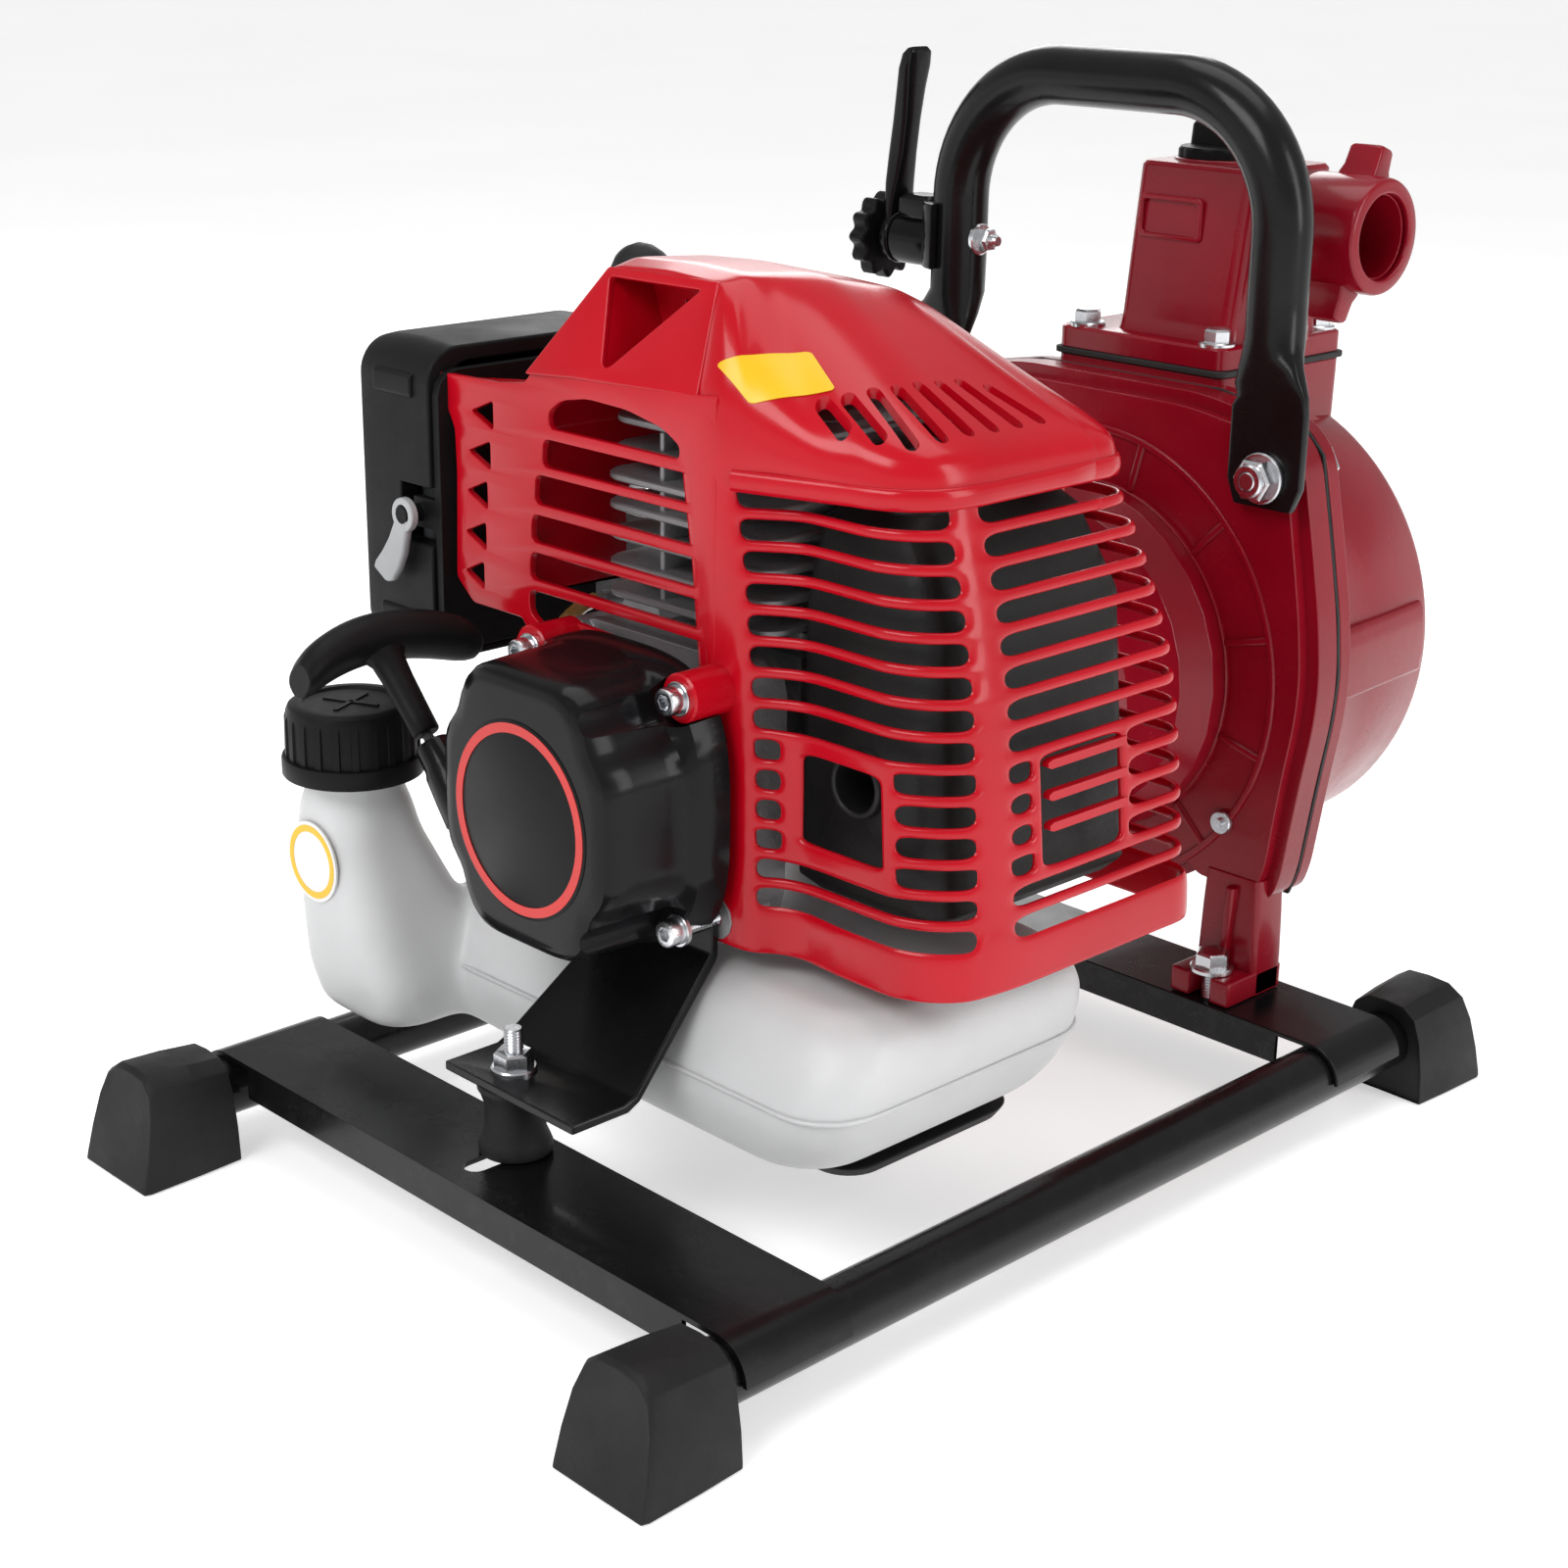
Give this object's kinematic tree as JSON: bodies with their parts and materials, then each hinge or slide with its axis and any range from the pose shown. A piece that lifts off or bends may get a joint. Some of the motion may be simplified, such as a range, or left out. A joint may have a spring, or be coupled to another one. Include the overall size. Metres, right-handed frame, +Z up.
{
  "type": "portable fire pump",
  "caption": "Petrol-engine water pump on a tubular skid, with a recoil starter, fuel tank, muffler cage, carrying handle, priming plug and side outlet collar.",
  "frame": {"origin": "centre of the footprint, on the ground under the four feet", "axes": "+Y from the recoil starter towards the pump's suction port, +X towards the muffler and the outlet collar, +Z up"},
  "size_m": [0.279, 0.444, 0.348],
  "materials": {
    "black_paint": "gloss black enamel",
    "black_rubber": "moulded black rubber",
    "black_plastic": "gloss black moulding",
    "matte_plastic": "satin black moulding",
    "grey_plastic": "translucent grey moulding",
    "red_plastic": "gloss red moulding",
    "red_paint": "dark red paint on a casting",
    "zinc": "zinc plated",
    "steel": "ground steel",
    "cast_aluminium": "as-cast aluminium",
    "black_steel": "heat-proof black",
    "tank_plastic": "milky white polyethylene",
    "foam": "oiled filter foam",
    "hose": "amber fuel hose",
    "gasket": "gasket paper and rubber",
    "rope": "braided cord"
  },
  "bodies": {
    "chassis": {"side_rail_left": "black_paint", "side_rail_right": "black_paint", "crossbar_front": "black_paint", "crossbar_rear": "black_paint", "foot_front_left": "black_rubber", "foot_front_right": "black_rubber", "foot_rear_left": "black_rubber", "foot_rear_right": "black_rubber", "isolator_mount": "black_rubber", "isolator_nut": "zinc", "engine_bracket": "black_paint", "crankcase": "cast_aluminium", "bearing_front": "steel", "bearing_rear": "steel", "piston": "cast_aluminium", "cylinder": "cast_aluminium", "spark_plug": "steel", "plug_boot": "black_rubber", "ignition_coil": "matte_plastic", "fan_housing": "cast_aluminium", "engine_shroud": "red_plastic", "muffler": "black_steel", "carburettor": "cast_aluminium", "air_filter_base": "matte_plastic", "air_filter_element": "foam", "air_filter_cover": "matte_plastic", "fuel_tank": "tank_plastic", "fuel_line": "hose", "tank_stand": "matte_plastic", "starter_housing": "black_plastic", "starter_bolt_1": "zinc", "starter_bolt_2": "zinc", "starter_bolt_3": "zinc", "starter_bolt_4": "zinc", "pump_front_case": "red_paint", "case_gasket": "gasket", "pump_rear_case": "red_paint", "shaft_seal": "black_rubber", "tower_gasket": "gasket", "discharge_tower": "red_paint", "carry_handle": "black_paint", "handle_bolt_left": "zinc", "handle_bolt_right": "zinc", "foot_bolt_left": "zinc", "foot_bolt_right": "zinc", "throttle_body": "black_plastic"},
    "rotor": {"crankshaft": "steel", "flywheel": "cast_aluminium", "impeller": "cast_aluminium"},
    "recoil_pulley": {"starter_pulley": "matte_plastic"},
    "recoil_handle": {"starter_grip": "matte_plastic", "starter_rope": "rope"},
    "throttle_arm": {"throttle_lever": "black_plastic"},
    "throttle_knob": {"throttle_dial": "black_plastic"},
    "choke": {"choke_lever": "grey_plastic"},
    "tank_cap": {"fuel_cap": "matte_plastic"},
    "primer": {"primer_bulb": "grey_plastic"},
    "priming_cap": {"priming_plug": "matte_plastic"},
    "outlet_collar": {"outlet_coupling": "red_paint"}
  },
  "joints": [
    {"name": "crank_spin", "type": "hinge", "parent": "chassis", "child": "rotor", "pos_m": [0, -0.024, 0.139], "axis": [0, 1, 0], "continuous": true},
    {"name": "starter_pull", "type": "slide", "parent": "chassis", "child": "recoil_handle", "axis": [-0.7071, 0, 0.7071], "range_m": [0, 0.6], "stiffness_N_per_m": 12, "springref_m": -0.3},
    {"name": "pulley_turn", "type": "hinge", "parent": "chassis", "child": "recoil_pulley", "pos_m": [0, -0.135, 0.139], "axis": [0, 1, 0], "range_deg": [0, 1040]},
    {"name": "throttle_swing", "type": "hinge", "parent": "chassis", "child": "throttle_arm", "pos_m": [-0.1, 0.114, 0.276], "axis": [1, 0, 0], "range_deg": [-35, 40]},
    {"name": "throttle_lock_turn", "type": "hinge", "parent": "chassis", "child": "throttle_knob", "pos_m": [-0.108, 0.114, 0.276], "axis": [1, 0, 0], "range_deg": [0, 360]},
    {"name": "choke_swing", "type": "hinge", "parent": "chassis", "child": "choke", "pos_m": [-0.104, -0.11, 0.205], "axis": [0, 1, 0], "range_deg": [0, 60]},
    {"name": "fuel_cap_turn", "type": "hinge", "parent": "chassis", "child": "tank_cap", "pos_m": [-0.1036, -0.134, 0.137], "axis": [0, 0, 1], "range_deg": [0, 360]},
    {"name": "primer_press", "type": "slide", "parent": "chassis", "child": "primer", "axis": [0, 0, 1], "range_m": [0, 0.005], "stiffness_N_per_m": 400, "deforming": ["primer_bulb"]},
    {"name": "priming_plug_turn", "type": "hinge", "parent": "chassis", "child": "priming_cap", "pos_m": [0.005, 0.166, 0.311], "axis": [0, 0, 1], "range_deg": [0, 360]},
    {"name": "outlet_collar_turn", "type": "hinge", "parent": "chassis", "child": "outlet_collar", "pos_m": [0.06, 0.166, 0.289], "axis": [1, 0, 0], "continuous": true}
  ],
  "couplings": [
    {"joint": "pulley_turn", "follows": "starter_pull", "rad_per_m": 30.1}
  ]
}
